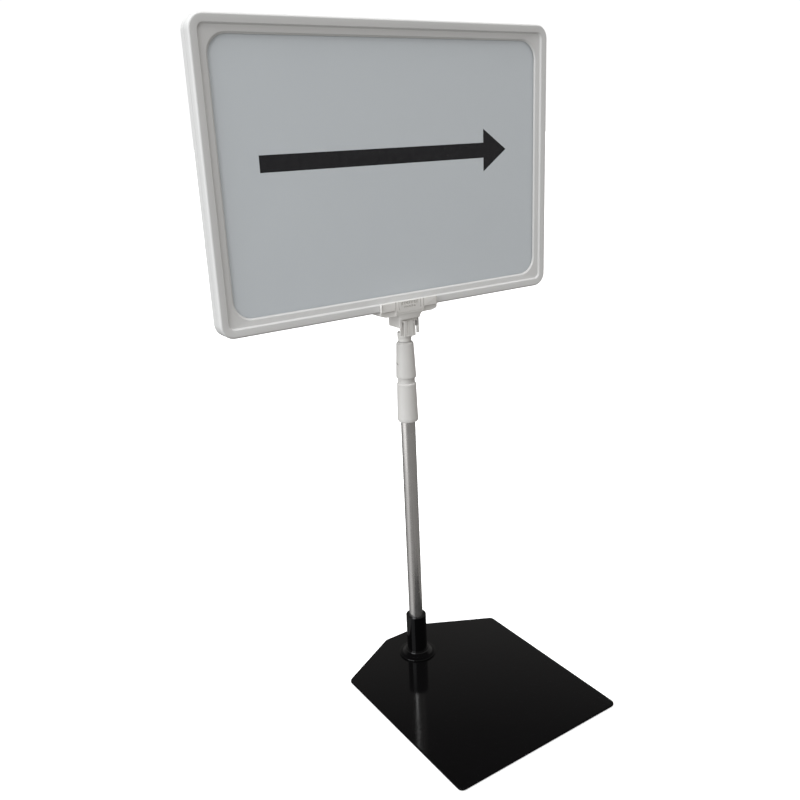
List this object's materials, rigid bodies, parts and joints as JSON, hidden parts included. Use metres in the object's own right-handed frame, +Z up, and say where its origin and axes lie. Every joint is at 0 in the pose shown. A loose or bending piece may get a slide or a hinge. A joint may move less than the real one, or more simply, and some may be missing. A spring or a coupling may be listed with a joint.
{
  "type": "sign stand",
  "caption": "Free-standing landscape showcard frame on a twist-lock telescopic stem with a T-shaped clip, a flanged socket and a flat six-sided steel base plate.",
  "frame": {"origin": "on the floor, under the middle of the stand's bounding box: x = 0 is the middle of the sign, y = 0 the middle of the base plate", "axes": "+Z up along the stem; the sign's front faces -Y; +X is to the viewer's right when facing the front of the sign"},
  "size_m": [0.312, 0.196, 0.5514],
  "materials": {
    "black_paint": "gloss black powder coat",
    "dark_rubber": "matt",
    "zinc_steel": "bright zinc",
    "satin_aluminium": "satin anodised",
    "white_plastic": "satin moulded",
    "natural_plastic": "natural acetal",
    "clear_film": "clear anti-glare film",
    "grey_card": "matt printed card",
    "foam_board": "matt foam board"
  },
  "bodies": {
    "base": {"base_plate": "black_paint", "pad_front_left": "dark_rubber", "pad_front_right": "dark_rubber", "pad_rear_left": "dark_rubber", "pad_rear_right": "dark_rubber", "stem_socket": "black_paint", "socket_screw": "zinc_steel"},
    "stem": {"outer_tube": "satin_aluminium", "clamp_body": "white_plastic", "clamp_collet": "natural_plastic"},
    "clamp_nut": {"clamp_nut": "white_plastic"},
    "inner_stem": {"inner_tube": "satin_aluminium", "guide_plug": "natural_plastic", "swivel_bush": "white_plastic"},
    "sign_head": {"sign_clip": "white_plastic", "frame_front": "white_plastic", "frame_rear": "white_plastic", "clear_film_front": "clear_film", "clear_film_rear": "clear_film", "spacer_board": "foam_board"},
    "front_card": {"showcard_front": "grey_card"},
    "rear_card": {"showcard_rear": "grey_card"}
  },
  "joints": [
    {"name": "stem_turn", "type": "hinge", "parent": "base", "child": "stem", "pos_m": [0.0056, 0.064, 0.03], "axis": [0, 0, 1], "continuous": true},
    {"name": "nut_turn", "type": "hinge", "parent": "stem", "child": "clamp_nut", "pos_m": [0.0056, 0.064, 0.286], "axis": [0, 0, 1], "range_deg": [0, 120]},
    {"name": "telescope", "type": "slide", "parent": "stem", "child": "inner_stem", "axis": [0, 0, 1], "range_m": [0, 0.19]},
    {"name": "sign_swivel", "type": "hinge", "parent": "inner_stem", "child": "sign_head", "pos_m": [0.0056, 0.064, 0.316], "axis": [0, 0, 1], "continuous": true},
    {"name": "front_card_slide", "type": "slide", "parent": "sign_head", "child": "front_card", "axis": [0, 0, 1], "range_m": [0, 0.19]},
    {"name": "rear_card_slide", "type": "slide", "parent": "sign_head", "child": "rear_card", "axis": [0, 0, 1], "range_m": [0, 0.19]}
  ]
}
